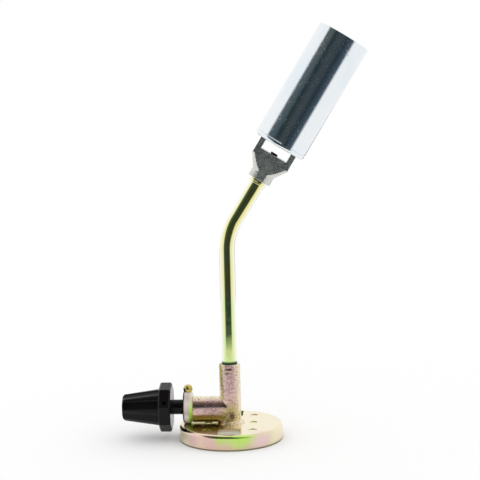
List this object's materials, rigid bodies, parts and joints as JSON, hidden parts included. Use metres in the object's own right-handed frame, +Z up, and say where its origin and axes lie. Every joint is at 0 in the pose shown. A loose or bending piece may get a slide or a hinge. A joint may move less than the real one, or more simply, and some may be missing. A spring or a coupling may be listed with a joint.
{
  "type": "cartridge gas torch",
  "caption": "Gas torch head: stamped cap that locks on a gas cartridge, needle valve with black knob, bent tube, cast holder with an air window and wide flame barrel.",
  "frame": {"origin": "centre of the cap's rim, on the plane that the torch stands on", "axes": "+Z up along the valve body's post, +X towards the side that the barrel leans to, -X along the valve towards the knob"},
  "size_m": [0.1302, 0.054, 0.2138],
  "materials": {
    "yellow_zinc": "yellow chromated zinc on steel, satin, with green and pink tints",
    "bright_zinc": "bright zinc on steel",
    "brass": "turned brass",
    "sintered_bronze": "sintered, matt",
    "grey_casting": "grey casting, grainy",
    "bright_plate": "bright plated steel",
    "black_plastic": "black moulded plastic, semi-gloss",
    "rubber": "black rubber"
  },
  "bodies": {
    "torch": {"base_cap": "yellow_zinc", "valve_body": "yellow_zinc", "gas_tube": "yellow_zinc", "tube_ferrule": "yellow_zinc", "lock_plate": "bright_zinc", "nut_washer": "bright_zinc", "clamp_nut": "bright_zinc", "barrel_screws": "bright_zinc", "gland_nut": "brass", "stop_screw": "brass", "inlet_guide": "brass", "jet_nozzle": "brass", "mixer_tube": "brass", "flame_holder": "brass", "inlet_filter": "sintered_bronze", "jet_filter": "sintered_bronze", "burner_holder": "grey_casting", "barrel": "bright_plate", "inlet_seal": "rubber"},
    "valve_carriage": {"stem_o_ring": "rubber"},
    "valve_knob": {"knob": "black_plastic", "spindle": "brass", "knob_grub_screw": "bright_zinc"}
  },
  "joints": [
    {"name": "spindle_slide", "type": "slide", "parent": "torch", "child": "valve_carriage", "axis": [-1, 0, 0], "range_m": [0, 0.0015]},
    {"name": "knob_turn", "type": "hinge", "parent": "valve_carriage", "child": "valve_knob", "pos_m": [0, 0, 0.0166], "axis": [-1, 0, 0], "range_deg": [0, 540]}
  ],
  "couplings": [
    {"joint": "knob_turn", "follows": "spindle_slide", "rad_per_m": 6283.2}
  ]
}
